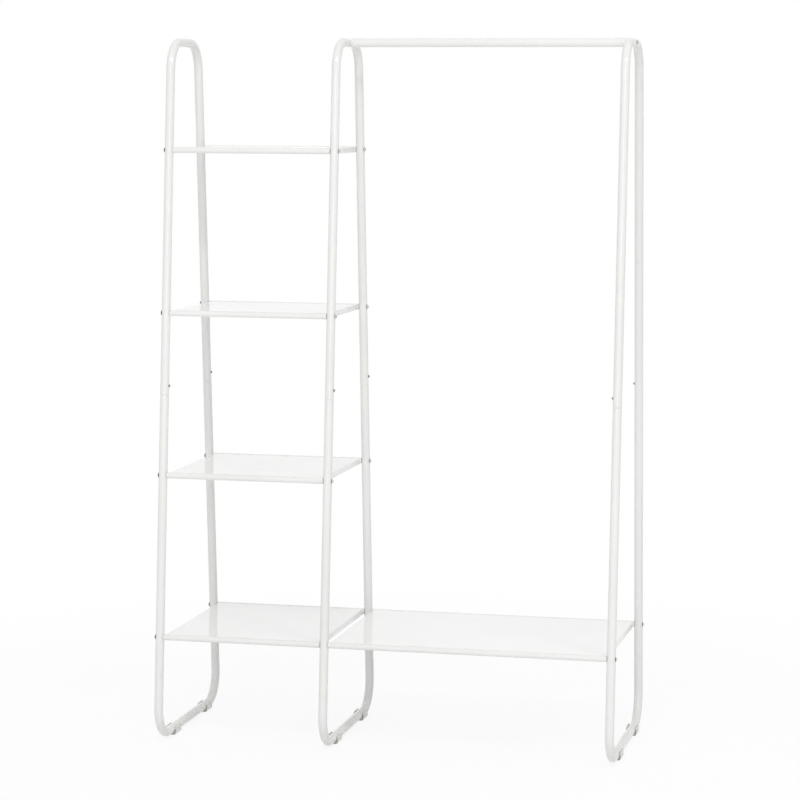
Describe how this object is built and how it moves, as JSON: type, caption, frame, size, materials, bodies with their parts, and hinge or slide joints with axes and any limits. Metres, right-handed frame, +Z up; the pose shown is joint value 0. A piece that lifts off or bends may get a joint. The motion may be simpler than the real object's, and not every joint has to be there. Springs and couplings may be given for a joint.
{
  "type": "clothes rack",
  "caption": "Free-standing clothes rack of bent white tube: leaning loop frames, sheet-metal shelves on one side and a hanging rod over a long base shelf on the other.",
  "frame": {"origin": "on the floor, under the middle of the rack", "axes": "+X along the rack from the shelves to the hanging space, +Y from front to rear, +Z up"},
  "size_m": [1.0088, 0.4414, 1.52],
  "materials": {
    "white_powder_coat": "semi-gloss white powder coat on steel tube and sheet",
    "foot_plastic": "translucent white moulded plastic",
    "zinc_plated_steel": "bright zinc plating",
    "spring_steel": "plated spring steel"
  },
  "bodies": {
    "rack": {"upper_frame_left": "white_powder_coat", "lower_frame_left": "white_powder_coat", "foot_left_front": "foot_plastic", "snap_spring_left_front": "spring_steel", "foot_left_rear": "foot_plastic", "snap_spring_left_rear": "spring_steel", "upper_frame_middle": "white_powder_coat", "lower_frame_middle": "white_powder_coat", "foot_middle_front": "foot_plastic", "snap_spring_middle_front": "spring_steel", "foot_middle_rear": "foot_plastic", "snap_spring_middle_rear": "spring_steel", "upper_frame_right": "white_powder_coat", "lower_frame_right": "white_powder_coat", "foot_right_front": "foot_plastic", "snap_spring_right_front": "spring_steel", "foot_right_rear": "foot_plastic", "snap_spring_right_rear": "spring_steel", "left_base_shelf_panel": "white_powder_coat", "left_base_shelf_end_plugs": "white_powder_coat", "left_base_shelf_front_rail": "white_powder_coat", "left_base_shelf_rear_rail": "white_powder_coat", "lower_shelf_panel": "white_powder_coat", "lower_shelf_end_plugs": "white_powder_coat", "lower_shelf_front_rail": "white_powder_coat", "lower_shelf_rear_rail": "white_powder_coat", "upper_shelf_panel": "white_powder_coat", "upper_shelf_end_plugs": "white_powder_coat", "upper_shelf_front_rail": "white_powder_coat", "upper_shelf_rear_rail": "white_powder_coat", "top_shelf_panel": "white_powder_coat", "top_shelf_end_plugs": "white_powder_coat", "top_shelf_front_rail": "white_powder_coat", "top_shelf_rear_rail": "white_powder_coat", "right_base_shelf_panel": "white_powder_coat", "right_base_shelf_end_plugs": "white_powder_coat", "right_base_shelf_front_rail": "white_powder_coat", "right_base_shelf_rear_rail": "white_powder_coat", "left_frame_shelf_bolts": "zinc_plated_steel", "middle_frame_shelf_bolts": "zinc_plated_steel", "right_frame_shelf_bolts": "zinc_plated_steel", "middle_frame_base_studs": "zinc_plated_steel", "hanging_rod": "white_powder_coat", "hanging_rod_end_plugs": "white_powder_coat", "hanging_rod_bolts": "zinc_plated_steel"},
    "snap_button_left_front": {"snap_button_left_front": "spring_steel"},
    "snap_button_left_rear": {"snap_button_left_rear": "spring_steel"},
    "snap_button_middle_front": {"snap_button_middle_front": "spring_steel"},
    "snap_button_middle_rear": {"snap_button_middle_rear": "spring_steel"},
    "snap_button_right_front": {"snap_button_right_front": "spring_steel"},
    "snap_button_right_rear": {"snap_button_right_rear": "spring_steel"}
  },
  "joints": [
    {"name": "press_left_front", "type": "slide", "parent": "rack", "child": "snap_button_left_front", "axis": [-1, 0, 0], "range_m": [0, 0.0042], "stiffness_N_per_m": 900, "deforming": ["snap_spring_left_front"]},
    {"name": "press_left_rear", "type": "slide", "parent": "rack", "child": "snap_button_left_rear", "axis": [-1, 0, 0], "range_m": [0, 0.0042], "stiffness_N_per_m": 900, "deforming": ["snap_spring_left_rear"]},
    {"name": "press_middle_front", "type": "slide", "parent": "rack", "child": "snap_button_middle_front", "axis": [-1, 0, 0], "range_m": [0, 0.0042], "stiffness_N_per_m": 900, "deforming": ["snap_spring_middle_front"]},
    {"name": "press_middle_rear", "type": "slide", "parent": "rack", "child": "snap_button_middle_rear", "axis": [-1, 0, 0], "range_m": [0, 0.0042], "stiffness_N_per_m": 900, "deforming": ["snap_spring_middle_rear"]},
    {"name": "press_right_front", "type": "slide", "parent": "rack", "child": "snap_button_right_front", "axis": [1, 0, 0], "range_m": [0, 0.0042], "stiffness_N_per_m": 900, "deforming": ["snap_spring_right_front"]},
    {"name": "press_right_rear", "type": "slide", "parent": "rack", "child": "snap_button_right_rear", "axis": [1, 0, 0], "range_m": [0, 0.0042], "stiffness_N_per_m": 900, "deforming": ["snap_spring_right_rear"]}
  ]
}
